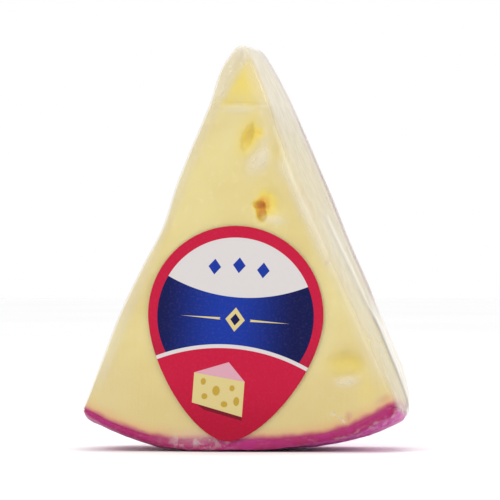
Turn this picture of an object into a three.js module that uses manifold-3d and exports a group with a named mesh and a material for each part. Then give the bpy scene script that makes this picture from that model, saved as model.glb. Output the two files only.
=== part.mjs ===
// A wedge of semi-hard cheese, vacuum packed, standing on its rind.
// The cheese is an eighth of half a wheel: a block with two knife-cut sides that meet at the tip, a flat
// knife-cut front, a barrel-shaped rim and a flat back. Coloured wax covers the rim and the back.
// Two webs of clear film, welded in a narrow fin round the sides, hug the block, and a drop-shaped paper
// label is stuck on the front. Millimetres: +X to the right, +Y from the front to the back, +Z up.

import * as THREE from "three";
import { mergeVertices } from "three/addons/utils/BufferGeometryUtils.js";
import Module from "manifold-3d";

// The block of cheese and wax
const THICKNESS = 40;
const HALF_ANGLE = THREE.MathUtils.degToRad(23);
const SHARP_TIP = { x: -0.25, z: 112 }; // where the two cut sides would meet
const TIP_RADIUS = 3;
const RIM_CENTRE = { x: -2.2, z: 97 };
const RIM_RADIUS = 96.8; // at the front
const RIM_BULGE = 2.3; // how far the rim's belly stands out past the front
const BELLY_DEPTH = -2; // where the rim bulges most
// Rounding of the front edges: at the tip, down the cut sides and along the rim
const TIP_EDGE = 3;
const SIDE_EDGE = 3;
const RIM_EDGE = 1.3;
const BACK_EDGE = 1.2; // rounding of every edge at the back, where the wax ends
const TOOL_EDGE = 0.4; // rounding of the shape that hollows the wax
const FRONT_CORNER = 3; // how much the two bottom corners are rounded, at the front
const BACK_CORNER = 10; // and at the back
const DENT = { z: 59.4, depth: 1.3, reach: 8 }; // a hollow in the left front edge

// The wax, the film, the weld and the label
const WAX = 1.6;
const FIT_GAP = 0.3; // between pieces that touch
const FILM = 0.4;
const FILM_SPACE = FIT_GAP + FILM; // what the film takes all round the block
const WELD_DEPTH = 8;
const FIN_HEIGHT = 0.8;
const LABEL_PAPER = 0.3;
const LABEL_CENTRE = { x: -1.5, z: 36.5 };
const LABEL_TILT = THREE.MathUtils.degToRad(-4.5);
const LABEL_RADIUS = 23.4;
const LABEL_DROP = 33.7; // from the label's centre down to its lowest point
const LABEL_SHOULDER = 14; // how far down its sides stay nearly upright
const LABEL_POINT = 9; // how blunt its lowest point is

// Gas eyes, as ellipsoids: centre, half sizes, and turn in the front's plane
const EYES = [
  { at: [3, -19.6, 83.4], half: [2.1, 3.1, 4.6], turn: 14 }, // upper front eye
  { at: [4.5, -19.2, 65], half: [1.7, 4.4, 2.9], turn: 0 }, // deep narrow eye
  { at: [7.9, -21.2, 66.8], half: [3.2, 2.7, 3.8], turn: -18 }, // shallow eye that opens into it
  { at: [10.8, -21.4, 78.6], half: [2.6, 2.6, 3.8], turn: -8 }, // shallow eye near the right edge
  { at: [27.6, -21.4, 23.6], half: [4.9, 2.8, 3.6], turn: -6 }, // shallow lower eye
  { at: [33.6, 4, 34.2], half: [2.6, 3.1, 2.4], turn: 0 }, // on the right side
  { at: [22.8, -7, 59.6], half: [1.7, 2.2, 1.9], turn: 0 },
  { at: [13.4, 9, 82], half: [2, 2.6, 2.4], turn: 0 },
  { at: [-21.9, 3, 58.4], half: [2.7, 3.2, 2.3], turn: 0 }, // on the left side
  { at: [-34.2, -6, 30.2], half: [2, 2.4, 2.6], turn: 0 },
  { at: [-13.6, 8, 77.4], half: [1.6, 2.1, 1.8], turn: 0 },
];
// The front of the tip has broken back to a ledge
const LEDGE = { z: 92, depth: 1.3, lean: 2.5 };

// Steps along each stretch of the outline and of a rounded edge
const SIDE_STEPS = 9;
const TIP_STEPS = 6;
const CORNER_STEPS = 4;
const RIM_STEPS = 18;
const EDGE_STEPS = 3;
const BODY_RINGS = 5;
const EYE_STEPS = 12;
const LABEL_STEPS = 14;

const FAR = 400; // well past the block on every side

const wasm = await Module();
wasm.setup();

// How far the rim stands out past RIM_RADIUS at a depth
function rimBulge(depth) {
  const reach = THICKNESS / 2 + BELLY_DEPTH;
  return RIM_BULGE * (1 - ((depth - BELLY_DEPTH) / reach) ** 2);
}

// Where a line from a point, in a direction, leaves a circle round RIM_CENTRE
function meetRim(from, direction, radius) {
  const start = from.clone().sub(new THREE.Vector2(RIM_CENTRE.x, RIM_CENTRE.z));
  const along = start.dot(direction);
  const reach = -along + Math.sqrt(along ** 2 - start.lengthSq() + radius ** 2);
  return from.clone().addScaledVector(direction, reach);
}

// The block's outline at one depth, seen from the front, anticlockwise from the tip.
// sides and rim say how far those stretches stand outside the block. Each point carries the rounding
// of its front edge.
function outline(depth, sides, rim) {
  const tip = new THREE.Vector2(SHARP_TIP.x, SHARP_TIP.z + sides / Math.sin(HALF_ANGLE));
  const tipRadius = TIP_RADIUS + sides;
  const radius = RIM_RADIUS + rimBulge(depth) + rim;
  const down = [-1, 1].map(
    (side) => new THREE.Vector2(side * Math.sin(HALF_ANGLE), -Math.cos(HALF_ANGLE)),
  );
  const corners = down.map((direction) => meetRim(tip, direction, radius));
  const share = THREE.MathUtils.clamp(depth / THICKNESS + 0.5, 0, 1);
  const rounding = THREE.MathUtils.lerp(FRONT_CORNER, BACK_CORNER, share ** 2);
  const angles = corners.map((c) => Math.atan2(c.y - RIM_CENTRE.z, c.x - RIM_CENTRE.x));
  const rimStart = angles[0] + rounding / radius;
  const rimEnd = angles[1] - rounding / radius;
  const onRim = (angle) =>
    new THREE.Vector2(
      RIM_CENTRE.x + radius * Math.cos(angle),
      RIM_CENTRE.z + radius * Math.sin(angle),
    );
  const sideStarts = down.map((d) => tip.clone().addScaledVector(d, tipRadius / Math.tan(HALF_ANGLE)));
  const sideEnds = corners.map((c, i) => c.clone().addScaledVector(down[i], -rounding));
  const tipCentre = tip.y - tipRadius / Math.sin(HALF_ANGLE);
  const { QuadraticBezierCurve, ArcCurve, LineCurve } = THREE;
  // each stretch: its curve, its steps, and the rounding of the front edge where it starts and ends
  const stretches = [
    [
      new ArcCurve(tip.x, tipCentre, tipRadius, HALF_ANGLE, Math.PI - HALF_ANGLE, false),
      TIP_STEPS,
      TIP_EDGE,
      TIP_EDGE,
    ],
    [new LineCurve(sideStarts[0], sideEnds[0]), SIDE_STEPS, TIP_EDGE, SIDE_EDGE],
    [
      new QuadraticBezierCurve(sideEnds[0], corners[0], onRim(rimStart)),
      CORNER_STEPS,
      SIDE_EDGE,
      RIM_EDGE,
    ],
    [
      new ArcCurve(RIM_CENTRE.x, RIM_CENTRE.z, radius, rimStart, rimEnd, false),
      RIM_STEPS,
      RIM_EDGE,
      RIM_EDGE,
    ],
    [
      new QuadraticBezierCurve(onRim(rimEnd), corners[1], sideEnds[1]),
      CORNER_STEPS,
      RIM_EDGE,
      SIDE_EDGE,
    ],
    [new LineCurve(sideEnds[1], sideStarts[1]), SIDE_STEPS, SIDE_EDGE, TIP_EDGE],
  ];
  const points = [];
  for (const [curve, steps, edgeAtStart, edgeAtEnd] of stretches) {
    for (let i = 0; i < steps; i++) {
      const p = curve.getPoint(i / steps);
      points.push({ x: p.x, z: p.y, edge: THREE.MathUtils.lerp(edgeAtStart, edgeAtEnd, i / steps) });
    }
  }
  return points;
}

// The hollow in the left front edge, and the flat that the weight presses into the rim
function settle(point, depth, base) {
  const dent =
    DENT.depth *
    Math.exp(-(((point.z - DENT.z) / DENT.reach) ** 2)) *
    THREE.MathUtils.smoothstep(-depth, -THICKNESS / 2, THICKNESS / 2);
  const x = point.x < SHARP_TIP.x ? point.x + dent : point.x;
  return [x, depth, Math.max(point.z, base)];
}

// Moves each point of an outline inwards by its own distance
function inset(points, distance) {
  const n = points.length;
  return points.map((p, i) => {
    const before = points[(i + n - 1) % n];
    const after = points[(i + 1) % n];
    const along = new THREE.Vector2(after.x - before.x, after.z - before.z).normalize();
    const d = distance(p);
    return { x: p.x - along.y * d, z: p.z + along.x * d, edge: p.edge };
  });
}

// A closed solid through rings of points, each ring an anticlockwise outline, from the front to the back.
// The first and last rings are flat, and are closed by fans round their middles.
function loft(rings) {
  const n = rings[0].length;
  const last = (rings.length - 1) * n;
  const index = [];
  for (let start = 0; start < last; start += n) {
    for (let i = 0; i < n; i++) {
      const [a, b] = [start + i, start + ((i + 1) % n)];
      index.push(a, a + n, b, b, a + n, b + n);
    }
  }
  const middle = (ring) => ring.reduce((sum, p) => sum.map((v, axis) => v + p[axis] / n), [0, 0, 0]);
  const positions = [...rings.flat(2), ...middle(rings[0]), ...middle(rings[rings.length - 1])];
  const frontMiddle = last + n;
  for (let i = 0; i < n; i++) {
    const next = (i + 1) % n;
    index.push(frontMiddle, i, next, frontMiddle + 1, last + next, last + i);
  }
  const geometry = new THREE.BufferGeometry();
  geometry.setAttribute("position", new THREE.Float32BufferAttribute(positions, 3));
  geometry.setIndex(index);
  return geometry;
}

// The block, or a shape of its kind. Each amount says how far that face stands outside the block.
// edgeOf turns the rounding of an edge of the block into the rounding of this shape's edge.
function block({ sides, rim, front, back, edgeOf }) {
  const frontDepth = -THICKNESS / 2 - front;
  const backDepth = THICKNESS / 2 + back;
  const base = FILM_SPACE - rim;
  const frontEdge = (p) => edgeOf(p.edge);
  const backEdge = () => edgeOf(BACK_EDGE);
  // one ring of a rounded edge, from the cap (turn 0) to the body (turn a right angle)
  const edgeRing = (capDepth, inwards, radius, turn) => {
    const depthOf = (p) => capDepth + inwards * radius(p) * (1 - Math.cos(turn));
    const points = outline(capDepth, sides, rim);
    return inset(points, (p) => radius(p) * (1 - Math.sin(turn))).map((p) => settle(p, depthOf(p), base));
  };
  const turns = Array.from({ length: EDGE_STEPS + 1 }, (_, i) => ((Math.PI / 2) * i) / EDGE_STEPS);
  const rings = turns.map((turn) => edgeRing(frontDepth, 1, frontEdge, turn));
  const bodyStart = frontDepth + edgeOf(SIDE_EDGE);
  const bodyEnd = backDepth - edgeOf(BACK_EDGE);
  for (let i = 1; i <= BODY_RINGS; i++) {
    const depth = THREE.MathUtils.lerp(bodyStart, bodyEnd, i / (BODY_RINGS + 1));
    rings.push(outline(depth, sides, rim).map((p) => settle(p, depth, base)));
  }
  for (const turn of turns.reverse()) rings.push(edgeRing(backDepth, -1, backEdge, turn));
  return loft(rings);
}

// A geometry as a manifold-3d solid, and back
function solid(geometry) {
  const bare = geometry.clone();
  bare.deleteAttribute("normal");
  bare.deleteAttribute("uv");
  const merged = mergeVertices(bare, 1e-4);
  return new wasm.Manifold(
    new wasm.Mesh({
      numProp: 3,
      vertProperties: merged.attributes.position.array,
      triVerts: new Uint32Array(merged.index.array),
    }),
  );
}

function geometryOf(made) {
  const mesh = made.getMesh();
  const geometry = new THREE.BufferGeometry();
  geometry.setAttribute("position", new THREE.BufferAttribute(mesh.vertProperties, 3));
  geometry.setIndex(new THREE.BufferAttribute(mesh.triVerts, 1));
  geometry.computeVertexNormals();
  return geometry;
}

// Everything between two depths
function slab(from, to) {
  const box = new THREE.BoxGeometry(FAR, to - from, FAR);
  return solid(box.translate(0, (from + to) / 2, 0));
}

const grown = (by) => block({ sides: by, rim: by, front: by, back: by, edgeOf: (edge) => edge + by });
const WHOLE = solid(grown(0));

// What lies inside the wax: it runs out past the cut sides and the front, which have no wax
function insideWax(wax) {
  const clear = 6;
  const edgeOf = () => TOOL_EDGE;
  return solid(block({ sides: clear, rim: -wax, front: clear, back: -wax, edgeOf }));
}

function eye({ at, half, turn }) {
  const ball = new THREE.SphereGeometry(1, EYE_STEPS, EYE_STEPS).scale(...half);
  return solid(ball.rotateY(THREE.MathUtils.degToRad(turn)).translate(...at));
}

// What broke off the front of the tip: thickest at the ledge, nothing at the very tip
function brokenTip() {
  const { z, depth, lean } = LEDGE;
  const chip = new THREE.BoxGeometry(60, 8, 40).translate(0, -4, 20);
  chip.rotateX(THREE.MathUtils.degToRad(lean));
  return solid(chip.translate(0, -THICKNESS / 2 + depth, z));
}

function cheeseBody() {
  const whole = WHOLE.intersect(insideWax(WAX + FIT_GAP));
  return EYES.reduce((left, e) => left.subtract(eye(e)), whole.subtract(brokenTip()));
}

function waxRind() {
  return WHOLE.subtract(insideWax(WAX));
}

// One web of film: the shell round the block between two depths, with its half of the welded fin
function filmWeb(from, to, finFrom, finTo) {
  const shell = solid(grown(FILM_SPACE)).intersect(slab(from, to));
  const fin = solid(grown(FILM_SPACE + FIN_HEIGHT)).intersect(slab(finFrom, finTo));
  const aboveTable = solid(new THREE.BoxGeometry(FAR, FAR, FAR).translate(0, 0, FAR / 2));
  return shell.add(fin.intersect(aboveTable)).subtract(solid(grown(FIT_GAP)));
}

// A drop: a half circle above, drawn in to a blunt point below
function labelPaper() {
  const r = LABEL_RADIUS;
  const drop = new THREE.Shape();
  drop.moveTo(r, 0);
  drop.absarc(0, 0, r, 0, Math.PI, false);
  drop.bezierCurveTo(-r, -LABEL_SHOULDER, -LABEL_POINT, -LABEL_DROP, 0, -LABEL_DROP);
  drop.bezierCurveTo(LABEL_POINT, -LABEL_DROP, r, -LABEL_SHOULDER, r, 0);
  const paper = new THREE.ExtrudeGeometry(drop, {
    depth: LABEL_PAPER,
    bevelEnabled: false,
    curveSegments: LABEL_STEPS,
  });
  return paper.rotateZ(LABEL_TILT).rotateX(Math.PI / 2);
}

const FINISHES = {
  cheese: new THREE.MeshStandardMaterial({ color: 0xe6d597, roughness: 0.5 }),
  wax: new THREE.MeshStandardMaterial({ color: 0xa8256f, roughness: 0.35 }),
  film: new THREE.MeshStandardMaterial({ color: 0xf2f0e6, roughness: 0.12, transparent: true, opacity: 0.3 }),
  paper: new THREE.MeshStandardMaterial({ color: 0xc12a48, roughness: 0.45 }),
};

const cheesePack = new THREE.Group();

function addPiece(name, geometry, finish) {
  const mesh = new THREE.Mesh(geometry, finish);
  mesh.name = name;
  cheesePack.add(mesh);
  return mesh;
}

const frontWebEnd = WELD_DEPTH - FIT_GAP / 2;
const backWebStart = WELD_DEPTH + FIT_GAP / 2;
addPiece("cheese_body", geometryOf(cheeseBody()), FINISHES.cheese);
addPiece("wax_rind", geometryOf(waxRind()), FINISHES.wax);
addPiece(
  "film_front",
  geometryOf(filmWeb(-FAR, frontWebEnd, frontWebEnd - FILM, frontWebEnd)),
  FINISHES.film,
);
addPiece(
  "film_back",
  geometryOf(filmWeb(backWebStart, FAR, backWebStart, backWebStart + FILM)),
  FINISHES.film,
);
const label = addPiece("front_label", labelPaper(), FINISHES.paper);
label.position.set(LABEL_CENTRE.x, -THICKNESS / 2 - FILM_SPACE - FIT_GAP, LABEL_CENTRE.z);

// The origin is on the base, in the middle of the whole pack
const middle = new THREE.Box3().setFromObject(cheesePack).getCenter(new THREE.Vector3());
cheesePack.position.set(-middle.x, -middle.y, 0);

export default cheesePack;
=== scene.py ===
"""Looks of a vacuum-packed cheese wedge: the cheese with its gas eyes, the wax rind, the clear film and
the front label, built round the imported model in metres."""

import math

import bmesh
import bpy
import numpy as np
from mathutils import Euler, Matrix, Vector, noise
from mathutils.bvhtree import BVHTree


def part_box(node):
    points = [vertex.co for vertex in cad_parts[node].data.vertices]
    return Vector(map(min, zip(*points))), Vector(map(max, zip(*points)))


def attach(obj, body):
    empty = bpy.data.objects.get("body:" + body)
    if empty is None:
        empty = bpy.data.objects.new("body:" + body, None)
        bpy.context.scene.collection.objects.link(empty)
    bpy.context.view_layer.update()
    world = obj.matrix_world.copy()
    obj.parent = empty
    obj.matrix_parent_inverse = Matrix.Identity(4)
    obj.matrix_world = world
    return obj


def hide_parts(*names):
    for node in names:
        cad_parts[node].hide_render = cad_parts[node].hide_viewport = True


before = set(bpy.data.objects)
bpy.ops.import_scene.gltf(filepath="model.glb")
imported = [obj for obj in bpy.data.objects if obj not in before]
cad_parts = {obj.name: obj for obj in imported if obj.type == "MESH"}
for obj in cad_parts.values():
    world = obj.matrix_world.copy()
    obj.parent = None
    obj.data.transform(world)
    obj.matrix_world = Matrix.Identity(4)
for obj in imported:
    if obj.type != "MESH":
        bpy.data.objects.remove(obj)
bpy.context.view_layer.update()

bl_info = {
    "name": "Cheese Wedge",
    "version": (1, 0, 0),
    "blender": (4, 5, 0),
    "location": "View3D > Sidebar > Cheese Wedge",
    "description": "Makes a vacuum-packed cheese wedge with a wax rind, clear film and a front label",
    "category": "Add Mesh",
}

MM = 0.001
FINE = 0.002 * MM  # points nearer than this are one point
BODY = "root"

# The block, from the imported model
CHEESE_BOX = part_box("cheese_body")
WAX_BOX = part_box("wax_rind")
LABEL_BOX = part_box("front_label")
FRONT = WAX_BOX[0].y  # the flat knife-cut front
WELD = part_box("film_front")[1].y
TIP_TOP = CHEESE_BOX[1].z
TIP_X = max(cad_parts["cheese_body"].data.vertices, key=lambda v: v.co.z).co.x
HALF_ANGLE = math.radians(23)  # from upright to each cut side
TIP_ROUND = 3.0  # radius of the tip, in millimetres
SHARP_TIP_HEIGHT = TIP_TOP / MM + TIP_ROUND * (1 / math.sin(HALF_ANGLE) - 1)  # where the cut sides would meet
RIM_CENTRE = Vector((TIP_X - 1.95 * MM, 0, 97 * MM))  # on the axis that the rim is round
SIDE_NORMALS = {
    "right": Vector((math.cos(HALF_ANGLE), 0, math.sin(HALF_ANGLE))),
    "left": Vector((-math.cos(HALF_ANGLE), 0, math.sin(HALF_ANGLE))),
}


# ---------------------------------------------------------------- colours and small sums


def paint(red, green, blue):
    """A colour from three numbers up to 255, as a shader takes it."""
    parts = (red / 255, green / 255, blue / 255)
    return tuple(c / 12.92 if c <= 0.04045 else ((c + 0.055) / 1.055) ** 2.4 for c in parts)


def smooth(low, high, values):
    """0 below low, 1 above high, and an even rise between."""
    share = np.clip((values - low) / (high - low), 0, 1)
    return share * share * (3 - 2 * share)


def bump_at(values, centre, reach):
    """A bell of height 1 round the centre."""
    return np.exp(-(((values - centre) / reach) ** 2))


def ripple(points, scale, stretch=(1, 1, 1), seed=0.0):
    """Smooth noise from -1 to 1 at each point. scale is the size of a ripple, in metres."""
    spots = points / (scale * np.array(stretch)) + seed
    return np.array([noise.noise(Vector(spot)) for spot in spots])


# ---------------------------------------------------------------- sizes and colours to change


def length_property(name, description, default_mm):
    return bpy.props.FloatProperty(
        name=name, description=description, default=default_mm * MM, min=0, unit="LENGTH", precision=5
    )


def colour_property(name, description, default):
    return bpy.props.FloatVectorProperty(
        name=name, description=description, default=paint(*default), size=3, min=0, max=1, subtype="COLOR"
    )


class CheeseSettings(bpy.types.PropertyGroup):
    """The cheese body."""

    grain: length_property("Mesh size", "Size of one mesh face of the cheese", 0.6)
    eye_roughness: length_property("Eye roughness", "How uneven the walls of the eyes are", 0.45)
    paste: colour_property("Paste", "Colour of the cut cheese", (210, 196, 132))
    near_rind: colour_property("Near the rind", "Colour of the cheese close to the wax", (198, 177, 112))
    # The Hollow and Eye colours are partly painted shade in the hollows and eyes
    deep: colour_property("Hollow", "Colour of the cheese where the film stands clear of it", (219, 197, 78))
    eye: colour_property("Eye", "Colour at the bottom of a deep eye", (214, 146, 14))
    bleed: colour_property("Bleed", "Colour of the cheese that the wax has stained", (164, 30, 92))


class WaxSettings(bpy.types.PropertyGroup):
    """The wax rind."""

    grain: length_property("Mesh size", "Size of one mesh face of the wax", 0.5)
    dark: colour_property("Dark wax", "Colour of the thick wax", (152, 16, 86))
    bright: colour_property("Bright wax", "Colour of the thin, scuffed wax", (186, 40, 146))


class FilmSettings(bpy.types.PropertyGroup):
    """The clear film."""

    grain: length_property("Mesh size", "Size of one mesh face of the film", 0.7)
    stand_off: length_property("Stand-off", "How far the film lies from the cheese", 0.6)
    weld_width: length_property("Weld width", "How far the front web laps over the back web", 1.2)
    weld_step: length_property("Weld step", "How far the back web is tucked in under the lap", 0.12)
    # Also the colour of the highlights painted on the front as milk
    haze_and_highlight: colour_property("Haze", "Colour of creased and stretched film", (234, 229, 218))


class LabelSettings(bpy.types.PropertyGroup):
    """The front label."""

    radius: length_property("Radius", "Radius of the round upper part", 23.4)
    drop: length_property("Drop", "Height from the round part's centre down to the point", 33.7)
    shoulder: length_property("Shoulder", "How far down the sides stay nearly upright", 14)
    point: length_property("Point", "How blunt the lowest point is", 9)
    thickness: length_property("Thickness", "Thickness of the paper", 0.14)
    lift: length_property("Lift", "From the cut front of the cheese to the back of the paper", 0.82)
    tilt: bpy.props.FloatProperty(
        name="Tilt", description="Clockwise turn on the cheese", default=math.radians(4.5), subtype="ANGLE"
    )
    red: colour_property("Red", "Colour of the border and the lower panel", (179, 20, 55))
    white: colour_property("White", "Colour of the upper panel and the stripe", (199, 194, 193))
    blue: colour_property("Blue", "Colour of the middle of the band", (18, 48, 142))
    navy: colour_property("Navy", "Colour of the ends of the band", (8, 16, 68))
    cream: colour_property("Cream", "Colour of the ornament and the picture", (200, 184, 126))


class StageSettings(bpy.types.PropertyGroup):
    """The floor, the lights and the camera."""

    azimuth: bpy.props.FloatProperty(
        name="Azimuth",
        description="Where the camera stands, to the right of straight in front",
        default=math.radians(7.5),
        subtype="ANGLE",
    )
    distance: length_property("Distance", "From the camera to the cheese", 1300)
    view_width: length_property("View width", "Width of the view at the cheese", 134.4)
    aim_height: length_property("Aim height", "Height that the camera looks at", 53.5)
    floor: colour_property("Floor", "Colour of the floor", (253, 253, 253))


# Lesser tones, which go with the colours above
WARMER_PASTE = paint(204, 186, 119)
PALE_FLECK = paint(226, 216, 172)
FAINT_STAIN = paint(206, 126, 106)
SCUFFED_WAX = paint(214, 140, 196)
SHADED_BORDER = paint(128, 24, 52)
DARKER_PANEL = paint(162, 12, 46)
PICTURE_TONES = {
    "shade": paint(110, 14, 34),
    "eyes": paint(176, 146, 56),
    "top": paint(200, 150, 164),
}
PAPER_FIBRE = paint(225, 170, 190)
FLOOR_TINT = paint(251, 251, 252)

SETTINGS = {
    "cheese": CheeseSettings,
    "wax": WaxSettings,
    "film": FilmSettings,
    "label": LabelSettings,
    "stage": StageSettings,
}


def settings(group):
    return getattr(bpy.context.scene, f"wedge_{group}")


# ---------------------------------------------------------------- making and shaping meshes


def deselect_all():
    if bpy.context.object and bpy.context.object.mode != "OBJECT":
        bpy.ops.object.mode_set(mode="OBJECT")
    bpy.ops.object.select_all(action="DESELECT")


def pick(obj):
    """Makes obj the one selected and active object."""
    deselect_all()
    obj.select_set(True)
    bpy.context.view_layer.objects.active = obj


def edit(obj, *steps):
    """Runs the steps in edit mode with everything selected."""
    pick(obj)
    bpy.ops.object.mode_set(mode="EDIT")
    bpy.ops.mesh.select_all(action="SELECT")
    for step in steps:
        step()
    bpy.ops.object.mode_set(mode="OBJECT")


def finish_with(obj, kind, **values):
    """Adds a modifier and applies it."""
    pick(obj)
    modifier = obj.modifiers.new(kind.title(), kind)
    for name, value in values.items():
        setattr(modifier, name, value)
    bpy.ops.object.modifier_apply(modifier=modifier.name)


def copy_of_node(node, name):
    """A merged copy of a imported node's mesh, as a new object."""
    copy = bpy.data.objects.new(name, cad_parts[node].data.copy())
    copy.data.materials.clear()
    bpy.context.scene.collection.objects.link(copy)
    edit(copy, lambda: bpy.ops.mesh.remove_doubles(threshold=FINE))
    return copy


def joined(objects, name):
    deselect_all()
    for obj in objects:
        obj.select_set(True)
    bpy.context.view_layer.objects.active = objects[0]
    bpy.ops.object.join()
    objects[0].name = name
    return objects[0]


def remesh(obj, grain, rounds):
    """An even skin of small faces over the piece, eased by some rounds of smoothing."""
    finish_with(obj, "REMESH", mode="VOXEL", voxel_size=grain)
    finish_with(obj, "SMOOTH", factor=0.5, iterations=rounds)


def points_of(obj):
    mesh = obj.data
    points = np.zeros(len(mesh.vertices) * 3)
    mesh.vertices.foreach_get("co", points)
    normals = np.zeros(len(mesh.vertices) * 3)
    mesh.vertices.foreach_get("normal", normals)
    return points.reshape(-1, 3), normals.reshape(-1, 3)


def place_points(obj, points):
    obj.data.vertices.foreach_set("co", points.ravel())
    obj.data.update()


def push(obj, amounts):
    """Moves each vertex along its normal by its own amount."""
    points, normals = points_of(obj)
    place_points(obj, points + normals * amounts[:, None])


def keep_number(obj, name, values):
    """Stores one number for each vertex, for a material to read."""
    attribute = obj.data.attributes.new(name, "FLOAT", "POINT")
    attribute.data.foreach_set("value", values.astype(np.float32))


def gap_to(obj, other):
    """Distance from each vertex of obj to the surface of other."""
    shape = bmesh.new()
    shape.from_mesh(other.data)
    tree = BVHTree.FromBMesh(shape)
    shape.free()
    points, _ = points_of(obj)
    return np.array([tree.find_nearest(Vector(p))[3] for p in points])


def soften(obj, angle=math.radians(60)):
    pick(obj)
    bpy.ops.object.shade_smooth_by_angle(angle=angle)


def hand_over(obj, nodes, material):
    """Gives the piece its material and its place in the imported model."""
    obj.data.materials.clear()
    obj.data.materials.append(material)
    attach(obj, BODY)
    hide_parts(*nodes)


# ---------------------------------------------------------------- materials


class Surface:
    """A node material under construction. Inputs are given by name, as values or as other sockets."""

    def __init__(self, name):
        self.material = bpy.data.materials.new(name)
        self.material.use_nodes = True
        self.tree = self.material.node_tree
        self.tree.nodes.clear()
        self.place = self.add("ShaderNodeTexCoord").outputs["Object"]

    def add(self, kind, inputs=None, **values):
        node = self.tree.nodes.new(kind)
        for name, value in values.items():
            setattr(node, name, value)
        for name, value in (inputs or {}).items():
            self.feed(node.inputs[name], value)
        return node

    def feed(self, socket, value):
        if isinstance(value, bpy.types.NodeSocket):
            self.tree.links.new(value, socket)
        elif socket.type == "RGBA" and len(value) == 3:
            socket.default_value = (*value, 1)
        else:
            socket.default_value = value

    def sum(self, operation, first, second=0.0, third=0.0, clamp=False):
        node = self.add("ShaderNodeMath", {0: first, 1: second, 2: third}, operation=operation)
        node.use_clamp = clamp
        return node.outputs[0]

    def number(self, name):
        return self.add("ShaderNodeAttribute", attribute_name=name).outputs["Fac"]

    def noise(self, size, detail=3.0, stretch=(1, 1, 1), rough=0.5):
        """Noise with features of the given size in metres, longer where stretch is more than 1."""
        place = self.place
        if stretch != (1, 1, 1):
            scale = tuple(1 / s for s in stretch)
            place = self.add("ShaderNodeMapping", {"Vector": place, "Scale": scale}).outputs[0]
        inputs = {"Vector": place, "Scale": 1 / size, "Detail": detail, "Roughness": rough}
        return self.add("ShaderNodeTexNoise", inputs).outputs["Fac"]

    def ease(self, value, low, high, to_low=0.0, to_high=1.0):
        inputs = {"Value": value, "From Min": low, "From Max": high, "To Min": to_low, "To Max": to_high}
        node = self.add("ShaderNodeMapRange", inputs, interpolation_type="SMOOTHSTEP")
        return node.outputs["Result"]

    def blend(self, share, first, second, mode="MIX"):
        node = self.add("ShaderNodeMix", data_type="RGBA", blend_type=mode)
        self.feed(node.inputs[0], share)
        self.feed(node.inputs[6], first)
        self.feed(node.inputs[7], second)
        return node.outputs[2]

    def bump(self, height, depth, strength=1.0, under=None):
        inputs = {"Height": height, "Distance": depth, "Strength": strength}
        if under is not None:
            inputs["Normal"] = under
        return self.add("ShaderNodeBump", inputs).outputs["Normal"]

    def done(self, shader):
        self.add("ShaderNodeOutputMaterial", {"Surface": shader})
        return self.material


def cheese_finish():
    """Pale paste: deeper yellow in the hollows and orange deep in the eyes, partly painted shade; stained
    pink along the wax.
    """
    look = settings("cheese")
    s = Surface("pale_cheese")
    cloud = s.noise(16 * MM, 2)
    fleck = s.noise(2.2 * MM, 3)
    below = s.number("below_wrap")
    wax_gap = s.number("wax_gap")
    warm = s.blend(s.ease(cloud, 0.3, 0.7), tuple(look.paste), WARMER_PASTE)
    warm = s.blend(s.ease(fleck, 0.55, 0.75, 0, 0.2), warm, PALE_FLECK)
    warm = s.blend(s.ease(wax_gap, 2 * MM, 26 * MM, 0.6, 0.0), warm, tuple(look.near_rind))
    # The deeper yellow read here is partly painted shade in the hollows and eyes
    warmth_and_shade = s.number("warmth_and_shade")
    hollow = s.blend(warmth_and_shade, warm, tuple(look.deep))
    # Orange deeper down in the eyes, partly painted shade at the bottom of the pits
    saffron = s.sum("MAXIMUM", s.ease(below, 2.8 * MM, 4.6 * MM), s.sum("SUBTRACT", warmth_and_shade, 1.0))
    eye = s.blend(saffron, hollow, tuple(look.eye))
    wander = s.sum("MULTIPLY_ADD", s.noise(5 * MM, 3), 1.6 * MM, wax_gap)
    pink = s.blend(s.ease(wander, 1.8 * MM, 5.6 * MM, 0.45, 0.0), eye, FAINT_STAIN)
    stain = s.ease(wander, 1.5 * MM, 3.4 * MM, 1.0, 0.0)
    colour = s.blend(s.sum("MAXIMUM", stain, s.number("smear")), pink, tuple(look.bleed))
    strokes = s.noise(0.9 * MM, 2, stretch=(1, 1, 14))
    grain = s.bump(s.noise(0.8 * MM, 3), 0.04 * MM)
    normal = s.bump(strokes, 0.05 * MM, under=grain)
    shader = s.add(
        "ShaderNodeBsdfPrincipled",
        {
            "Base Color": colour,
            "Roughness": s.ease(fleck, 0.3, 0.8, 0.4, 0.55),
            "Subsurface Weight": 0.3,
            "Subsurface Radius": (1.0, 0.75, 0.35),
            "Subsurface Scale": 2 * MM,
            "Normal": normal,
        },
    )
    return s.done(shader.outputs[0])


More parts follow.
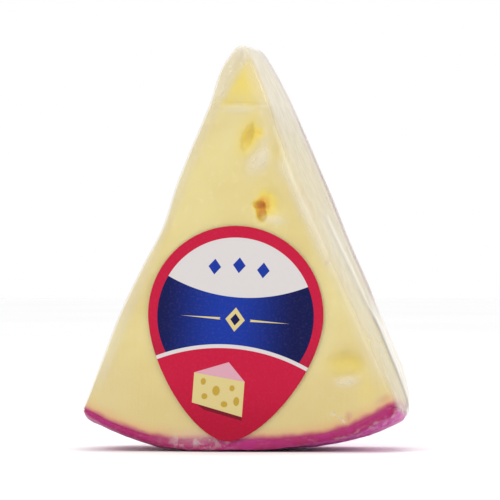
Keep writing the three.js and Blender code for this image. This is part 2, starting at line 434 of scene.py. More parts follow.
def wax_finish():
    """Magenta wax: deep at its front edge and on the left, lilac behind it on the right, with pale scuffs."""
    look = settings("wax")
    s = Surface("magenta_wax")
    mottle = s.noise(5 * MM, 4)
    scuff = s.noise(1.4 * MM, 4, stretch=(3, 1, 1), rough=0.65)
    split = s.add("ShaderNodeSeparateXYZ", {0: s.place}).outputs
    depth = s.sum("MULTIPLY_ADD", mottle, 3 * MM, split[1])  # a wandering edge
    behind_edge = s.ease(depth, FRONT + 1.8 * MM, FRONT + 4.6 * MM)
    thin = s.sum("MULTIPLY", behind_edge, s.ease(split[0], -24 * MM, 12 * MM, 0.05, 1.0))
    colour = s.blend(thin, tuple(look.dark), tuple(look.bright))
    colour = s.blend(s.ease(mottle, 0.38, 0.66, 0, 0.25), colour, tuple(look.bright))
    colour = s.blend(s.ease(scuff, 0.58, 0.76, 0, 0.35), colour, SCUFFED_WAX)
    normal = s.bump(scuff, 0.12 * MM, under=s.bump(mottle, 0.25 * MM))
    shader = s.add(
        "ShaderNodeBsdfPrincipled",
        {
            "Base Color": colour,
            "Roughness": s.ease(mottle, 0.3, 0.7, 0.35, 0.5),
            "Specular IOR Level": 0.3,
            "Normal": normal,
        },
    )
    return s.done(shader.outputs[0])


def film_finish():
    """Clear glossy film that turns milky where it is creased or stretched, and where highlights are painted
    on as milk.
    """
    look = settings("film")
    s = Surface("clear_film")
    s.material.use_backface_culling = True
    # The milk over the front is partly painted highlights
    haze_and_highlight, scuff = s.number("haze_and_highlight"), s.number("scuff")
    streak = s.noise(1.6 * MM, 2, stretch=(1, 1, 11))
    crinkle = s.noise(1.4 * MM, 4, rough=0.6)
    torn = s.ease(s.sum("MULTIPLY_ADD", streak, 0.4, crinkle), 0.66, 0.86)
    cloud = s.sum("MULTIPLY_ADD", s.ease(streak, 0.3, 0.7), 0.16, 0.9)
    veil = s.sum("MULTIPLY_ADD", scuff, torn, s.sum("MULTIPLY", haze_and_highlight, cloud), clamp=True)
    creased = s.sum("MULTIPLY_ADD", scuff, 0.8, 0.1)
    fold = s.sum("MULTIPLY_ADD", crinkle, creased, s.sum("MULTIPLY", streak, haze_and_highlight))
    normal = s.bump(fold, 0.05 * MM)
    milk = s.add(
        "ShaderNodeBsdfPrincipled",
        {"Base Color": tuple(look.haze_and_highlight), "Roughness": 0.4, "Specular IOR Level": 0.1},
    )
    clear = s.add("ShaderNodeBsdfTransparent")
    body = s.add("ShaderNodeMixShader", {0: veil, 1: clear.outputs[0], 2: milk.outputs[0]})
    gloss = s.add("ShaderNodeBsdfGlossy", {"Color": (1, 1, 1), "Roughness": 0.13, "Normal": normal})
    facing = s.add("ShaderNodeLayerWeight", {"Blend": 0.5, "Normal": normal}).outputs["Facing"]
    sheen = s.sum("MULTIPLY_ADD", s.sum("POWER", facing, 5.0), 0.35, 0.03)
    sheen = s.sum("MULTIPLY", sheen, s.number("shine"))
    shader = s.add("ShaderNodeMixShader", {0: sheen, 1: body.outputs[0], 2: gloss.outputs[0]})
    return s.done(shader.outputs[0])


# The print, in millimetres from the middle of the label's round part. Circles have their centre's height
# on the middle line, and their radius.
WINDOW = (-0.6, 20.9)
WHITE_PANEL = (47.8, 43.3)
STRIPE_TOP = (-56.3, 48.2)
STRIPE_BOTTOM = (-56.3, 47.2)
ORNAMENT = (0, -1.4)
# The picture of a cheese wedge on the lower panel
PICTURE_TOP = [(-9.8, -16.2), (3.8, -17.6), (-0.8, -12.8)]
PICTURE_FRONT = [(-9.8, -16.2), (-9.8, -24.2), (3.8, -27.0), (3.8, -17.6)]
PICTURE_SHADE = [(-9.2, -24.2), (-6.4, -25.9), (3.8, -28.0), (3.8, -26.6)]
PICTURE_EYES = [
    ((-7.2, -18.4), (0.7, 0.9)),
    ((-3.6, -20.6), (1.0, 1.3)),
    ((0.6, -19.6), (0.7, 0.8)),
    ((-6.6, -22.3), (0.8, 0.8)),
    ((-1.2, -24.0), (0.9, 0.8)),
    ((2.0, -23.0), (0.8, 1.2)),
]


class Print(Surface):
    """A printed surface: shapes are in millimetres on the label, from the middle of its round part."""

    def __init__(self, name, centre, tilt):
        super().__init__(name)
        place = self.add("ShaderNodeMapping", {"Vector": self.place, "Location": tuple(-centre)}).outputs[0]
        turned = self.add(
            "ShaderNodeVectorRotate", {"Vector": place, "Angle": -tilt}, rotation_type="Y_AXIS"
        ).outputs[0]
        split = self.add("ShaderNodeSeparateXYZ", {0: turned})
        self.across, self.up = split.outputs[0], split.outputs[2]

    def edge(self, reach, limit, blur=0.05 * MM):
        """1 where reach is under the limit, both of them in metres or both bare shares."""
        return self.ease(reach, limit - blur, limit + blur, 1, 0)

    def from_point(self, x, z):
        return self.sum("SUBTRACT", self.across, x * MM), self.sum("SUBTRACT", self.up, z * MM)

    def circle(self, height, radius):
        """1 inside a circle whose centre is at that height on the label's middle line."""
        rise = self.sum("SUBTRACT", self.up, height * MM)
        square = self.sum("MULTIPLY_ADD", self.across, self.across, self.sum("MULTIPLY", rise, rise))
        return self.edge(self.sum("SQRT", square), radius * MM)

    def oval(self, middle, half):
        side, rise = self.from_point(*middle)
        side = self.sum("MULTIPLY", side, 1 / (half[0] * MM))
        rise = self.sum("MULTIPLY", rise, 1 / (half[1] * MM))
        square = self.sum("MULTIPLY_ADD", side, side, self.sum("MULTIPLY", rise, rise))
        return self.edge(square, 1, 0.12)

    def diamond(self, middle, half):
        side, rise = self.from_point(*middle)
        side = self.sum("MULTIPLY", self.sum("ABSOLUTE", side), 1 / (half[0] * MM))
        rise = self.sum("MULTIPLY", self.sum("ABSOLUTE", rise), 1 / (half[1] * MM))
        return self.edge(self.sum("ADD", side, rise), 1, 0.04)

    def polygon(self, corners):
        """1 inside a convex outline, its corners given anticlockwise."""
        inside = None
        for (x0, z0), (x1, z1) in zip(corners, corners[1:] + corners[:1]):
            length = math.hypot(x1 - x0, z1 - z0)
            out_x, out_z = (z1 - z0) / length, -(x1 - x0) / length
            reach = self.sum("MULTIPLY", self.across, out_x)
            reach = self.sum("MULTIPLY_ADD", self.up, out_z, reach)
            here = self.edge(reach, (x0 * out_x + z0 * out_z) * MM)
            inside = here if inside is None else self.sum("MULTIPLY", inside, here)
        return inside


def label_finish():
    """Printed paper: red border, white panel with diamonds, blue band with a rule, stripe, red panel."""
    look = settings("label")
    centre, _ = label_place()
    s = Print("printed_paper", centre, look.tilt)
    window = s.circle(*WINDOW)
    white_panel = s.circle(*WHITE_PANEL)
    above_stripe = s.sum("SUBTRACT", 1.0, s.circle(*STRIPE_TOP))
    below_stripe = s.circle(*STRIPE_BOTTOM)
    reach = s.sum("ABSOLUTE", s.sum("ADD", s.across, 2 * MM))
    band = s.blend(s.ease(reach, 1 * MM, 19 * MM), tuple(look.blue), tuple(look.navy))
    clear_of_diamond = s.sum("SUBTRACT", 1, s.diamond(ORNAMENT, (4.2, 5.2)))
    rule = s.sum("MULTIPLY", s.diamond(ORNAMENT, (14.5, 0.42)), clear_of_diamond)
    band = s.blend(rule, band, tuple(look.cream))
    band = s.blend(s.diamond(ORNAMENT, (2.6, 3.2)), band, tuple(look.cream))
    band = s.blend(s.diamond(ORNAMENT, (1.3, 1.6)), band, tuple(look.navy))
    field = tuple(look.white)
    for x in (-6.5, 0, 6.5):
        field = s.blend(s.diamond((x, 13.0 - 0.02 * x * x), (1.7, 2.1)), field, tuple(look.blue))
    ring = s.blend(s.ease(s.up, -13 * MM, -5 * MM, 0.35, 0), tuple(look.red), SHADED_BORDER)
    colour = s.blend(window, ring, s.blend(white_panel, band, field))
    colour = s.blend(above_stripe, tuple(look.white), colour)
    lower = s.blend(s.ease(s.up, -16 * MM, -33 * MM), tuple(look.red), DARKER_PANEL)
    colour = s.blend(below_stripe, colour, lower)
    colour = s.blend(s.polygon(PICTURE_SHADE), colour, PICTURE_TONES["shade"])
    colour = s.blend(s.polygon(PICTURE_FRONT), colour, tuple(look.cream))
    for middle, half in PICTURE_EYES:
        colour = s.blend(s.oval(middle, half), colour, PICTURE_TONES["eyes"])
    colour = s.blend(s.polygon(PICTURE_TOP), colour, PICTURE_TONES["top"])
    fibre = s.noise(0.6 * MM, 3)
    colour = s.blend(s.ease(fibre, 0.45, 0.8, 0, 0.02), colour, PAPER_FIBRE)
    shader = s.add(
        "ShaderNodeBsdfPrincipled",
        {
            "Base Color": colour,
            "Roughness": s.ease(fibre, 0.3, 0.7, 0.42, 0.5),
            "Specular IOR Level": 0.1,
            "Normal": s.bump(s.noise(6 * MM, 2), 0.05 * MM),
        },
    )
    return s.done(shader.outputs[0])


# ---------------------------------------------------------------- the shape of the block


def to_mm(points):
    """Millimetres across from the tip, back from the cut front, and up from the floor."""
    return (points - np.array((TIP_X, FRONT, 0))) / MM


def from_side(points, side):
    """Millimetres from each point in to the plane of a cut side."""
    across, _, up = to_mm(points).T
    normal = SIDE_NORMALS[side]
    return (SHARP_TIP_HEIGHT - up) * normal.z - across * normal.x


def rim_reach(points):
    """Millimetres from the axis that the rim is round."""
    out = (points - np.array(RIM_CENTRE)) / MM
    return np.hypot(out[:, 0], out[:, 2])


def outward_share(points, normals):
    """How far each normal faces straight out from the rim's axis, from -1 to 1."""
    out = points - np.array(RIM_CENTRE)
    return (normals[:, 0] * out[:, 0] + normals[:, 2] * out[:, 2]) / np.hypot(out[:, 0], out[:, 2])


def side_of(normals, side):
    """1 where a normal faces out of that cut side, 0 elsewhere."""
    return smooth(0.55, 0.9, normals @ np.array(SIDE_NORMALS[side]))


def on_rim(points, normals):
    """1 on the round rim, 0 elsewhere."""
    return smooth(0.2, 0.7, outward_share(points, normals)) * smooth(93, 96, rim_reach(points))


def patches(points, rows):
    """A sum of soft oval patches on the front: middle and half sizes (across, up), amount, turn."""
    across, _, up = to_mm(points).T
    total = np.zeros(len(points))
    for (x, z), (half_x, half_z), amount, turn in rows:
        angle = math.radians(turn)
        right, rise = across - x, up - z
        wide = (right * math.cos(angle) - rise * math.sin(angle)) / half_x
        tall = (right * math.sin(angle) + rise * math.cos(angle)) / half_z
        total += amount * np.exp(-((wide**2 + tall**2) ** 1.4))
    return total


# How far the tip's bevelled left edge faces to the left, and to the front
BEVEL_LEFT, BEVEL_FRONT = 0.5, 0.87


def bevel_line(up):
    """How far across the tip's bevelled left edge reaches onto the front, at a height."""
    return 0.56 * (up - 91) - 5.05


def worn(points):
    """The points with the tip bevelled, the long front edges worn round, and sides and faces uneven."""
    across, back, up = to_mm(points).T
    moved = np.zeros_like(points)
    bevel = BEVEL_LEFT * (bevel_line(up) - across) - BEVEL_FRONT * back
    bevel = np.maximum(bevel, 0) * smooth(84, 93, up)
    moved[:, 0] += BEVEL_LEFT * bevel
    moved[:, 1] += BEVEL_FRONT * bevel
    for side, normal in SIDE_NORMALS.items():
        reach = np.hypot(np.maximum(from_side(points, side), 0), np.maximum(back, 0))
        wear = 0.3
        if side == "right":
            wear = 0.25 + 0.7 * smooth(12, 40, up) + 0.5 * bump_at(up, 72, 14) - 0.75 * smooth(86, 93, up)
        amount = wear * np.exp(-((reach / 6.2) ** 1.6))
        moved -= amount[:, None] * np.array(normal)
        moved[:, 1] += amount
    # The left side bulges near the tip and low down
    moved[:, 0] -= 0.9 * bump_at(up, 100, 5.5) * smooth(0, 4, -across)
    moved[:, 0] -= 0.5 * bump_at(up, 35, 12) * smooth(10, 30, -across)
    # The rim rises to the left and right of where the wedge stands
    on_wax = smooth(93.5, 96.5, rim_reach(points))
    moved[:, 2] += on_wax * (1.25 * smooth(10, 34, -across) + 0.9 * bump_at(across, 20, 9))
    # In front its edge comes back down, and the cheese with it
    low_front = smooth(84, 94, rim_reach(points)) * (1 - smooth(2, 16, back))
    moved[:, 2] -= low_front * (1.3 * bump_at(across, -27, 13) + 1.1 * bump_at(across, 25, 11))
    # The tip is narrow, at the back of its right side most of all
    moved[:, 0] -= 0.16 * across * smooth(102.5, 107, up)
    moved[:, 0] -= 1.35 * smooth(92, 108, up) * smooth(8, 38, back) * smooth(-1.5, 1.5, across)
    # The rest of the right side is full, except at the foot
    fuller = (0.4 + 0.3 * bump_at(up, 75, 12)) * (1.25 * smooth(10, 20, up) - 0.25)
    fuller *= smooth(8, 22, back) * (1 - smooth(1, 7, from_side(points, "right")))
    moved += fuller[:, None] * np.array(SIDE_NORMALS["right"])
    # All faces wander a little, but not where the wedge stands
    uneven = smooth(0.5, 6, up)
    for axis in range(3):
        moved[:, axis] += 0.22 * uneven * ripple(points, 17 * MM, seed=11.0 + 3 * axis)
    return points + moved * MM


def edge_dent(points):
    """The hollow in the left front edge, for a skin that was drawn straight across it."""
    across, back, up = to_mm(points).T
    amount = 1.3 * bump_at(up, 59.4, 8) * (1 - smooth(0, 40, back)) * smooth(0, 8, -across)
    return points + np.outer(amount * MM, (1, 0, 0))


# ---------------------------------------------------------------- the cheese and its eyes


# Gas eyes: middle (across from the tip, up, depth), half sizes, and turn in the front's plane
EYES = [
    ((1.9, 83.6, 0.1), (1.7, 1.9, 4.3), 22),
    ((5.6, 84.8, 0.0), (1.2, 1.1, 1.0), 60),
    ((5.1, 65.3, 0.5), (2.15, 2.5, 1.35), 4),
    ((5.5, 62.8, 0.5), (1.6, 2.7, 2.1), 0),
    ((33.6, 34.2, 24), (2.6, 3.1, 2.4), 0),
    ((22.8, 59.6, 13), (1.7, 2.2, 1.9), 0),
    ((13.4, 82, 29), (2.0, 2.6, 2.4), 0),
    ((-21.9, 58.4, 23), (2.7, 3.2, 2.3), 0),
    ((-34.2, 30.2, 14), (2.0, 2.4, 2.6), 0),
    ((-13.6, 77.4, 28), (1.6, 2.1, 1.8), 0),
]
# Soft hollows of the front (swells where negative), as rows for patches
HOLLOWS = [
    ((3.6, 81.6), (3.0, 5.8), 0.9, 20),
    ((8.2, 66.2), (2.9, 3.6), 1.8, -10),
    ((10.9, 78.8), (2.2, 4.0), 1.1, -12),
    ((27.8, 23.4), (4.8, 3.2), 2.6, -6),
    ((17.4, 62.8), (2.2, 2.6), 0.35, 25),
    ((8.6, 61.4), (3.0, 1.1), -0.15, 8),
    ((4.8, 76.0), (2.4, 3.0), -0.15, 20),
    ((-30.0, 22.0), (9.0, 7.0), 0.2, 0),
]
# Where the cheese is deeper yellow, partly as the film stands clear of it and partly painted shade in hollows
DEEPER_YELLOW_AND_SHADE = [
    ((1.9, 84.0), (2.4, 5.0), 0.68, 22),
    ((5.6, 84.8), (1.5, 1.3), 0.6, 10),
    ((7.3, 66.0), (2.8, 3.5), 1.1, -10),
    ((10.4, 79.4), (1.8, 3.2), 0.22, -12),
    ((27.0, 23.8), (4.6, 3.0), 0.62, -6),
    ((31.2, 23.0), (2.4, 2.6), 0.3, -6),
    ((-4.6, 92.6), (2.6, 0.9), 0.5, 0),
    ((2.4, 92.4), (2.2, 0.8), 0.45, 0),
    ((33.6, 16.0), (2.2, 4.4), 0.2, 0),
]
# Small smears of wax colour on the front, as rows for patches
SMEARS = [
    ((28.8, 10.6), (0.9, 1.0), 0.34, 0),
    ((29.2, 8.2), (0.6, 1.6), 0.3, -20),
    ((23.6, 50.4), (0.5, 1.0), 0.2, 35),
    ((38.6, 14.6), (2.6, 1.0), 0.22, -25),
]
# The walls of the front eyes, coloured only below the cut: partly painted shade on the walls
EYE_WALLS_AND_SHADE = [
    ((4.5, 64.2), (2.4, 4.2), 1.5, 0),
    ((1.9, 83.8), (3.0, 5.4), 0.52, 22),
    ((5.6, 84.8), (1.7, 1.5), 0.3, 10),
]
# The broken tip: height of its lower edge, depth there, and how much shallower it gets with height
LEDGE_HEIGHT, LEDGE_DEPTH, LEDGE_SLOPE = 92.0, 1.3, 0.044
CHEESE_FILL = 0.13  # how far the cheese is swelled to meet the wax, in millimetres


def eye_cutter(middle, half, turn):
    """A rough-walled bubble."""
    x, z, depth = middle
    centre = Vector((TIP_X + x * MM, FRONT + depth * MM, z * MM))
    deselect_all()
    bpy.ops.mesh.primitive_ico_sphere_add(subdivisions=4, radius=1)
    bubble = bpy.context.object
    bubble.data.transform(Matrix.LocRotScale(centre, Euler((0, math.radians(turn), 0)), Vector(half) * MM))
    points, _ = points_of(bubble)
    rough = settings("cheese").eye_roughness
    push(bubble, rough * ripple(points, 1.8 * MM, seed=7.3) + rough * 0.4 * ripple(points, 0.8 * MM))
    return bubble


def press_front(obj):
    """Presses the soft hollows and the broken tip into the front."""
    points, normals = points_of(obj)
    _, back, up = to_mm(points).T
    faces_front = smooth(0.3, 0.8, -normals[:, 1])
    points[:, 1] += patches(points, HOLLOWS) * faces_front * MM
    uneven = 0.12 * ripple(points, 4 * MM, seed=5.5)
    ledge = LEDGE_HEIGHT - 0.25 * ripple(points, 6 * MM, seed=2.5)
    chip = (LEDGE_DEPTH - LEDGE_SLOPE * (up - ledge) + uneven) * smooth(-0.3, 0.5, up - ledge)
    points[:, 1] += np.maximum(chip - back, 0) * faces_front * MM
    place_points(obj, points)


def warmth_and_shade(points, normals):
    """How yellow the cheese is painted at each point, partly as painted shade: 1 is deep yellow, and above
    that it turns saffron.
    """
    across, back, up = to_mm(points).T
    faces_front = smooth(0.5, 0.9, -normals[:, 1])
    broken = smooth(0, 0.6, up - LEDGE_HEIGHT) * smooth(0.2, 0.7, back) * (0.35 + 0.55 * smooth(92, 98, up))
    broken *= smooth(-1.6, 0.6, across - bevel_line(up))
    near = 1 - smooth(6, 9, back)
    inside = patches(points, EYE_WALLS_AND_SHADE) * smooth(0.2, 0.8, back) * near
    on_front = (patches(points, DEEPER_YELLOW_AND_SHADE) + broken) * np.maximum(faces_front, smooth(0.6, 1.6, back))
    return np.clip(on_front + inside, 0, 2)


class WEDGE_OT_cheese(bpy.types.Operator):
    """Make the cheese body, with its eyes and hollows"""

    bl_idname = "wedge.cheese"
    bl_label = "Cheese Body"

    def execute(self, context):
        look = settings("cheese")
        cheese = copy_of_node("cheese_body", "cheese")
        edit(cheese, bpy.ops.mesh.convex_hull)
        cutter = joined([eye_cutter(*eye) for eye in EYES], "eye_cutters")
        finish_with(cheese, "BOOLEAN", operation="DIFFERENCE", object=cutter, use_self=True)
        bpy.data.objects.remove(cutter)
        remesh(cheese, look.grain, 4)
        hull = block_hull()
        press_front(cheese)
        keep_number(cheese, "below_wrap", gap_to(cheese, hull))
        bpy.data.objects.remove(hull)
        wax = copy_of_node("wax_rind", "wax_reference")
        keep_number(cheese, "wax_gap", gap_to(cheese, wax))
        bpy.data.objects.remove(wax)
        points, normals = points_of(cheese)
        keep_number(cheese, "warmth_and_shade", warmth_and_shade(points, normals))
        keep_number(cheese, "smear", patches(points, SMEARS) * smooth(0.5, 0.9, -normals[:, 1]))
        push(cheese, (CHEESE_FILL + 0.05 * ripple(points, 4 * MM)) * MM)
        place_points(cheese, worn(edge_dent(points_of(cheese)[0])))
        soften(cheese)
        hand_over(cheese, ["cheese_body"], cheese_finish())
        return {"FINISHED"}


# ---------------------------------------------------------------- the wax


WAX_FILL = 0.24  # how far the wax is swelled to close the gaps beside it, in millimetres
LIP_RISE = 0.9  # how far its front inner edge is lifted, to close the groove under the cheese


class WEDGE_OT_wax(bpy.types.Operator):
    """Make the wax rind over the rim and the back"""

    bl_idname = "wedge.wax"
    bl_label = "Wax Rind"

    def execute(self, context):
        wax = copy_of_node("wax_rind", "wax")
        remesh(wax, settings("wax").grain, 3)
        points, _ = points_of(wax)
        rough = 0.1 * ripple(points, 5 * MM, seed=3.1) + 0.05 * ripple(points, 1.6 * MM)
        push(wax, (WAX_FILL + rough) * MM)
        points, _ = points_of(wax)
        reach = rim_reach(points)
        lip = smooth(90, 93, reach) * (1 - smooth(94.9, 95.9, reach))
        lip *= 1 - smooth(3, 8, to_mm(points)[:, 1])
        place_points(wax, points + np.outer(LIP_RISE * MM * lip, (0, 0, 1)))
        place_points(wax, worn(points_of(wax)[0]))
        soften(wax)
        hand_over(wax, ["wax_rind"], wax_finish())
        return {"FINISHED"}


# ---------------------------------------------------------------- the film


def block_hull():
    """The tight skin round cheese and wax, which bridges every hollow."""
    hull = joined([copy_of_node("cheese_body", "hull"), copy_of_node("wax_rind", "hull_wax")], "hull")
    edit(hull, bpy.ops.mesh.convex_hull)
    return hull


# The fold that runs down the right side: height, distance behind the cut front
FOLD = [(24, 31), (30, 27), (39, 18), (49, 15.5), (61, 12.5)]


def fold_line(points):
    """How near each point is to the fold, 1 on its crest."""
    _, depth, height = to_mm(points).T
    course = np.interp(height, *zip(*FOLD))
    return bump_at(depth, course, 2.6) * smooth(18, 26, height) * (1 - smooth(58, 66, height))


# How milky the film is down the right side: height, amount
SIDE_HAZE = [
    (0, 0.4), (14, 0.46), (22, 0.34), (30, 0.34), (42, 0.44), (55, 0.52), (70, 0.42), (84, 0.5), (92, 0.66),
]
# Milky patches of the film over the front, as rows for patches; some are painted highlights on the lips and
# ledge
MILKY_AND_HIGHLIGHTS = [
    ((4.6, 77.0), (3.0, 4.2), 0.24, 25),
    ((4.2, 76.6), (1.9, 3.4), 0.13, 35),
    ((6.6, 80.6), (1.5, 5.0), 0.2, 0),
    ((9.2, 61.4), (3.0, 1.1), 0.3, 8),
    ((12.4, 75.0), (3.0, 3.6), 0.24, -20),
    ((13.4, 80.0), (1.8, 6.5), 0.25, -22),
    ((16.0, 67.2), (2.2, 6.8), 0.32, -22),
    ((20.8, 56.5), (2.0, 8.5), 0.28, -22),
    ((28.3, 18.8), (3.4, 1.4), 0.35, -4),
    ((-13.0, 3.8), (7.0, 2.2), 0.14, 0),
    ((-0.6, 90.7), (4.4, 0.9), 0.24, 0),
]
# Where it is crumpled into fine white creases
CRUMPLED = [
    ((-11.0, 2.6), (9.0, 2.4), 0.26, 0),
    ((27.0, 8.6), (3.4, 0.7), 0.6, 35),
    ((1.0, 103.6), (0.6, 1.2), 0.7, 35),
    ((-3.0, 101.4), (0.5, 1.0), 0.7, 35),
    ((-6.6, 98.6), (0.5, 0.9), 0.6, 35),
]


def film_scuff(points, normals):
    """How crumpled the film is at each point, from 0 to 1."""
    front = smooth(0.5, 0.97, -normals[:, 1])
    across, _, height = to_mm(points).T
    scuff = front * patches(points, CRUMPLED)
    scuff += on_rim(points, normals) * (0.03 + 0.22 * smooth(14, 36, across))
    scuff += side_of(normals, "right") * 0.15 * (1 - smooth(4, 14, height))
    return np.clip(scuff, 0, 1)


def film_haze_and_highlights(points, normals):
    """How milky the film is at each point, from 0 to 1, with painted highlights on the lips and the tip's
    ledge.
    """
    right, left = side_of(normals, "right"), side_of(normals, "left")
    front = smooth(0.6, 0.97, -normals[:, 1])
    across, depth, height = to_mm(points).T
    rim = on_rim(points, normals)
    # Milky patches, partly painted highlights below the eyes, below the dent and along the ledge
    haze_and_highlight = front * patches(points, MILKY_AND_HIGHLIGHTS)
    # The right side, with its back edge, its fold and its foot
    side = np.interp(height, *zip(*SIDE_HAZE))
    haze_and_highlight += right * (side + 0.55 * smooth(35, 40, depth))
    haze_and_highlight += right * fold_line(points) * 0.3
    haze_and_highlight += right * 0.7 * smooth(18, 25, depth) * (1 - smooth(28, 46, height))
    haze_and_highlight += left * 0.2
    # Strips along the long front edges, and the tip's bevel: milky film, partly painted highlights on the
    # rounded edges
    off_sides = (1 - rim) * (1 - left) * (1 - right)
    haze_and_highlight += off_sides * 0.26 * (1 - smooth(0.8, 4.4, from_side(points, "left"))) * smooth(13, 22, height)
    haze_and_highlight += off_sides * 0.3 * (1 - smooth(0.5, 5.5, from_side(points, "right"))) * smooth(13, 24, height)
    haze_and_highlight += off_sides * 0.14 * smooth(90, 97, height) * (1 - smooth(-1.6, 0.8, across - bevel_line(height)))
    haze_and_highlight += 0.08 * smooth(104, 108, height) * (1 - right)
    # Faint clouds over the front
    drift = smooth(-0.4, 1.2, ripple(points, 13 * MM, stretch=(1, 1, 1.6), seed=6.2))
    haze_and_highlight += 0.08 * front * drift * (1 - smooth(90, 94, rim_reach(points)))
    return np.clip(haze_and_highlight, 0, 0.95)


def film_shine(points, normals):
    """How glossy the film is at each point: dull on the rim, down the right side and along its edge."""
    edge = np.hypot(np.maximum(from_side(points, "right"), 0), np.maximum(to_mm(points)[:, 1], 0))
    gloss = (1 - 0.9 * on_rim(points, normals)) * (1 - 0.7 * side_of(normals, "right"))
    gloss *= 1 - 0.8 * smooth(92, 95, rim_reach(points))
    return gloss * (1 - 0.75 * (1 - smooth(1.5, 5, edge)) * (1 - 0.7 * smooth(86, 94, to_mm(points)[:, 2])))


def film_relief(points, normals):
    """Folds and creases: how far the film stands off, in metres, beyond its plain stand-off."""
    sides = side_of(normals, "right") + side_of(normals, "left")
    height = points[:, 2] / MM
    drawn = ripple(points, 2.6 * MM, stretch=(5, 1, 5), seed=1.7)
    relief = 0.02 * sides * drawn
    relief += 0.08 * side_of(normals, "right") * fold_line(points)
    relief += 0.05 * smooth(92, 100, height) * ripple(points, 3 * MM, seed=4.4)
    low = 1 - smooth(6, 20, height)
    relief += 0.12 * low * sides * ripple(points, 3 * MM, stretch=(1, 2, 1), seed=9.1)
    relief += 0.04 * ripple(points, 7 * MM, seed=2.2)
    return relief * MM


FLOOR_GAP = 0.02 * MM  # from the floor to the lowest film


class WEDGE_OT_film(bpy.types.Operator):
    """Make the two webs of clear film and their welded seam"""

    bl_idname = "wedge.film"
    bl_label = "Clear Film"

    def execute(self, context):
        look = settings("film")
        wrap = block_hull()
        remesh(wrap, look.grain, 3)
        place_points(wrap, worn(edge_dent(points_of(wrap)[0])))
        points, normals = points_of(wrap)
        push(wrap, look.stand_off + film_relief(points, normals))
        points, _ = points_of(wrap)
        points[:, 2] = np.maximum(points[:, 2], FLOOR_GAP)
        place_points(wrap, points)
        finish = film_finish()
        for name, node, side in (("front_web", "film_front", -1), ("back_web", "film_back", 1)):
            web = wrap.copy()
            web.data = wrap.data.copy()
            web.name = name
            context.scene.collection.objects.link(web)

            def cut():
                bpy.ops.mesh.bisect(
                    plane_co=(0, WELD - side * look.weld_width / 2, 0),
                    plane_no=(0, 1, 0),
                    clear_outer=side < 0,
                    clear_inner=side > 0,
                )

            edit(web, cut)
            points, normals = points_of(web)
            keep_number(web, "haze_and_highlight", film_haze_and_highlights(points, normals))
            keep_number(web, "scuff", film_scuff(points, normals))
            keep_number(web, "shine", film_shine(points, normals))
            if side > 0:
                past_lap = smooth(0.5 * look.weld_width, 1.2 * look.weld_width, points[:, 1] - WELD)
                push(web, -look.weld_step * (1 - past_lap))
            soften(web, math.radians(75))
            hand_over(web, [node], finish)
        bpy.data.objects.remove(wrap)
        return {"FINISHED"}


# ---------------------------------------------------------------- the label


def label_place():
    """The centre of the label's round part, and the turn that tilts the label."""
    look = settings("label")
    centre = Vector((LABEL_BOX[1].x - look.radius, FRONT - look.lift, LABEL_BOX[1].z - look.radius))
    return centre, Matrix.Rotation(look.tilt, 4, "Y")


def drop_outline(look, steps=40):
    """Points round the drop, anticlockwise from its right side."""
    r = look.radius
    arc = [(r * math.cos(math.pi * i / steps), r * math.sin(math.pi * i / steps)) for i in range(steps)]
    half = []
    for i in range(steps):
        t = i / steps
        b = ((1 - t) ** 3, 3 * t * (1 - t) ** 2, 3 * t * t * (1 - t), t**3)
        x = b[0] * r + b[1] * r + b[2] * look.point
        z = -b[1] * look.shoulder - (b[2] + b[3]) * look.drop
        half.append((x, z))
    left = [(-x, z) for x, z in half]
    return arc + left + [(0, -look.drop)] + half[:0:-1]


def flat_shape(name, outline, material):
    """A flat face with that outline, in the label's place."""
    centre, turn = label_place()
    deselect_all()
    bpy.ops.mesh.primitive_circle_add(vertices=len(outline), radius=1, fill_type="NGON")
    shape = bpy.context.object
    shape.name = name
    for vertex, (x, z) in zip(shape.data.vertices, outline):
        vertex.co = centre + turn @ Vector((x, 0, z))
    shape.data.update()
    shape.data.materials.append(material)
    return shape


class WEDGE_OT_label(bpy.types.Operator):
    """Make the printed front label"""

    bl_idname = "wedge.label"
    bl_label = "Front Label"

    def execute(self, context):
        look = settings("label")
        label = flat_shape("label", drop_outline(look), label_finish())
        edit(label, lambda: bpy.ops.mesh.normals_make_consistent(inside=False))
        finish_with(label, "SOLIDIFY", thickness=look.thickness, offset=1)
        hand_over(label, ["front_label"], label.data.materials[0])
        return {"FINISHED"}


# ---------------------------------------------------------------- the stage


def soft_light(name, place, target, size, power):
    light = bpy.data.lights.new(name, "AREA")
    light.shape = "SQUARE"
    light.size = size
    light.energy = power
    lamp = bpy.data.objects.new(name, light)
    lamp.location = place
    lamp.rotation_euler = (Vector(target) - Vector(place)).to_track_quat("-Z", "Y").to_euler()
    bpy.context.scene.collection.objects.link(lamp)


# Lights: place in metres, size in metres, power in watts
LIGHTS = {
    "key": ((-0.5, -0.8, 0.9), 0.35, 3.0),
    "fill": ((0.9, -0.5, 0.5), 0.3, 1.5),
    "top": ((0.1, 0.3, 1.1), 0.5, 2.0),
}
MIDDLE = (0, 0, 50 * MM)  # where the lights aim
FLOOR_SIZE = 8  # metres
SENSOR_WIDTH = 36  # millimetres


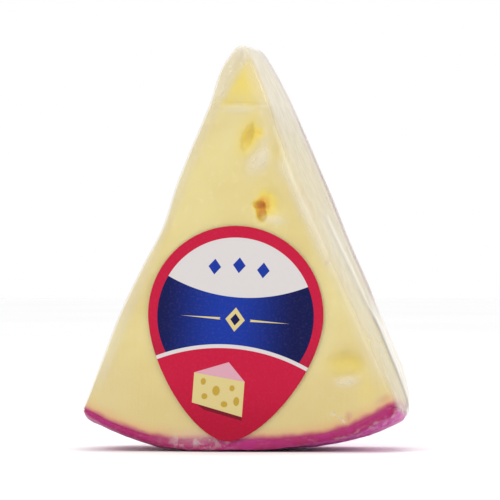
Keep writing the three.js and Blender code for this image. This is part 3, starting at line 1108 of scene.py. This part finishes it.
class WEDGE_OT_stage(bpy.types.Operator):
    """Make the floor, the backdrop, the lights and the camera"""

    bl_idname = "wedge.stage"
    bl_label = "Stage"

    def execute(self, context):
        look = settings("stage")
        scene = context.scene
        deselect_all()
        bpy.ops.mesh.primitive_plane_add(size=FLOOR_SIZE)
        floor = context.object
        floor.name = "floor"
        s = Surface("pale_floor")
        tone = s.blend(s.ease(s.noise(0.3, 2), 0.3, 0.7), tuple(look.floor), FLOOR_TINT)
        shader = s.add("ShaderNodeBsdfPrincipled", {"Base Color": tone, "Roughness": 0.8})
        floor.data.materials.append(s.done(shader.outputs[0]))

        world = bpy.data.worlds.new("studio")
        world.use_nodes = True
        world.node_tree.nodes["Background"].inputs["Color"].default_value = (1, 1, 1, 1)
        world.node_tree.nodes["Background"].inputs["Strength"].default_value = 1.0
        scene.world = world
        for name, (place, size, power) in LIGHTS.items():
            soft_light(name, place, MIDDLE, size, power)

        camera = bpy.data.objects.new("camera", bpy.data.cameras.new("camera"))
        scene.collection.objects.link(camera)
        direction = Vector((math.sin(look.azimuth), -math.cos(look.azimuth), 0))
        aim = Vector((TIP_X - 0.1 * MM, 0, look.aim_height))
        camera.location = aim + direction * look.distance
        camera.rotation_euler = (math.pi / 2, 0, look.azimuth)
        camera.data.sensor_width = SENSOR_WIDTH
        camera.data.lens = SENSOR_WIDTH * look.distance / look.view_width
        camera.data.clip_end = 20
        scene.camera = camera
        scene.view_settings.view_transform = "Standard"
        return {"FINISHED"}


# ---------------------------------------------------------------- the add-on


OPERATORS = (WEDGE_OT_cheese, WEDGE_OT_wax, WEDGE_OT_film, WEDGE_OT_label, WEDGE_OT_stage)


class WEDGE_PT_sidebar(bpy.types.Panel):
    """Lists the pieces of the cheese wedge"""

    bl_label = "Cheese Wedge"
    bl_idname = "WEDGE_PT_sidebar"
    bl_space_type = "VIEW_3D"
    bl_region_type = "UI"
    bl_category = "Cheese Wedge"

    def draw(self, context):
        for operator, (group, kind) in zip(OPERATORS, SETTINGS.items()):
            box = self.layout.box()
            box.operator(operator.bl_idname)
            for name in kind.__annotations__:
                box.prop(settings(group), name)


def register():
    for kind in (*SETTINGS.values(), *OPERATORS, WEDGE_PT_sidebar):
        bpy.utils.register_class(kind)
    for group, kind in SETTINGS.items():
        setattr(bpy.types.Scene, f"wedge_{group}", bpy.props.PointerProperty(type=kind))


def unregister():
    for group in SETTINGS:
        delattr(bpy.types.Scene, f"wedge_{group}")
    for kind in reversed((*SETTINGS.values(), *OPERATORS, WEDGE_PT_sidebar)):
        bpy.utils.unregister_class(kind)


def main():
    register()
    bpy.ops.wedge.stage()
    bpy.ops.wedge.cheese()
    bpy.ops.wedge.wax()
    bpy.ops.wedge.film()
    bpy.ops.wedge.label()


if __name__ == "__main__":
    main()
